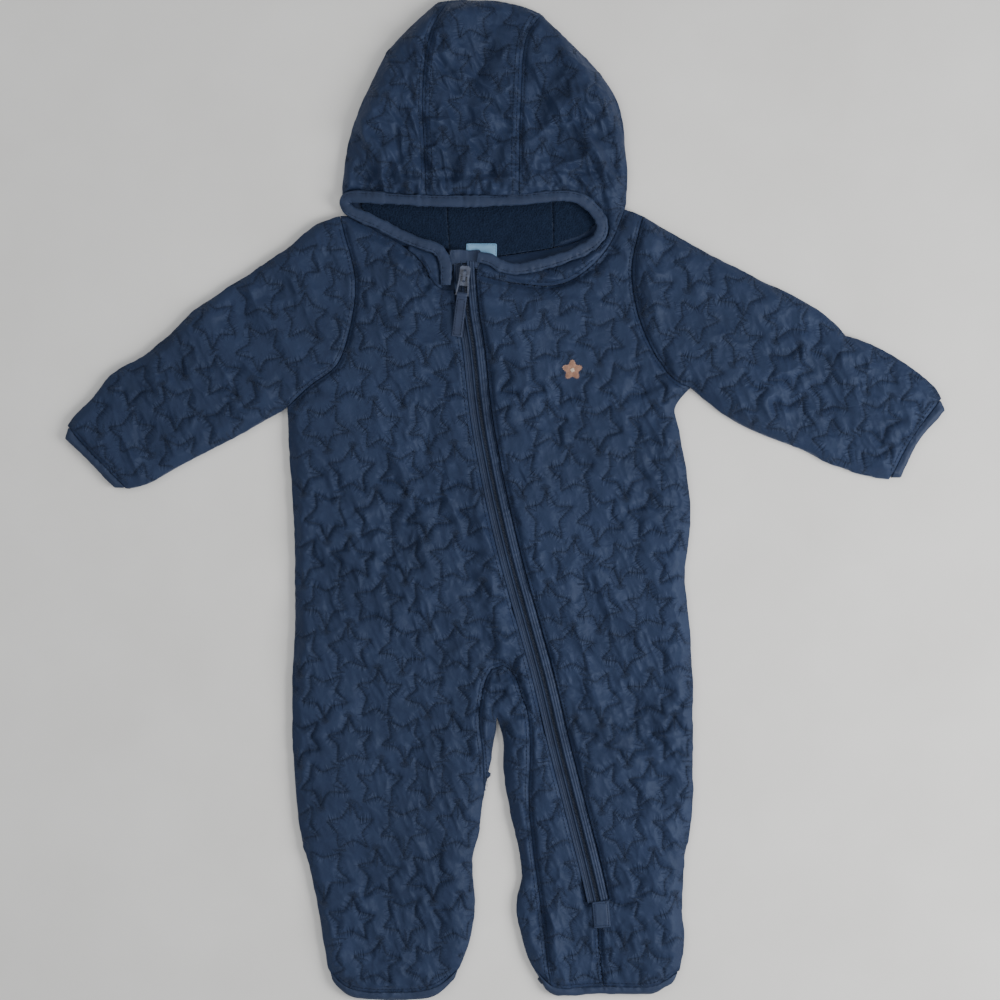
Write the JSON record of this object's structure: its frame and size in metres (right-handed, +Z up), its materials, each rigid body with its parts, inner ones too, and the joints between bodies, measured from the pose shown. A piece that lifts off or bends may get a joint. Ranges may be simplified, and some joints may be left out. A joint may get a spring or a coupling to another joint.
{
  "type": "baby snowsuit",
  "caption": "Hooded baby snowsuit in star-quilted navy cloth with a slanting front zip, laid flat.",
  "frame": {"origin": "middle of the garment's outline, on the surface that it lies on", "axes": "+X to the wearer's left, +Y from the legs to the hood, +Z up off the surface"},
  "size_m": [0.7456, 0.8476, 0.021],
  "materials": {
    "shell_cloth": "satin",
    "binding_cloth": "satin",
    "fleece": "matte",
    "zip_tape": "matte",
    "label_cloth": "satin",
    "embroidery": "satin",
    "enamelled_metal": "satin"
  },
  "bodies": {
    "garment": {"front_right": "shell_cloth", "front_left": "shell_cloth", "back": "shell_cloth", "sleeve_right": "shell_cloth", "sleeve_left": "shell_cloth", "hood_centre": "shell_cloth", "hood_side_right": "shell_cloth", "hood_side_left": "shell_cloth", "collar_right": "shell_cloth", "cuff_binding_right": "binding_cloth", "cuff_binding_left": "binding_cloth", "hem_binding_right": "binding_cloth", "hem_binding_left": "binding_cloth", "hood_binding": "binding_cloth", "zip_end_patch": "binding_cloth", "hood_lining_centre": "fleece", "hood_lining_right": "fleece", "hood_lining_left": "fleece", "neck_label": "label_cloth", "zip_tape_right": "zip_tape", "zip_tape_left": "binding_cloth", "chest_flower": "embroidery", "zip_slider": "enamelled_metal"},
    "pull_tab": {"pull_bail": "enamelled_metal", "pull_ribbon": "binding_cloth"}
  },
  "joints": [
    {"name": "pull_hinge", "type": "hinge", "parent": "garment", "child": "pull_tab", "pos_m": [-0.03441, 0.1896, 0.013], "axis": [-0.9925, 0.1219, 0], "range_deg": [0, 150]}
  ]
}
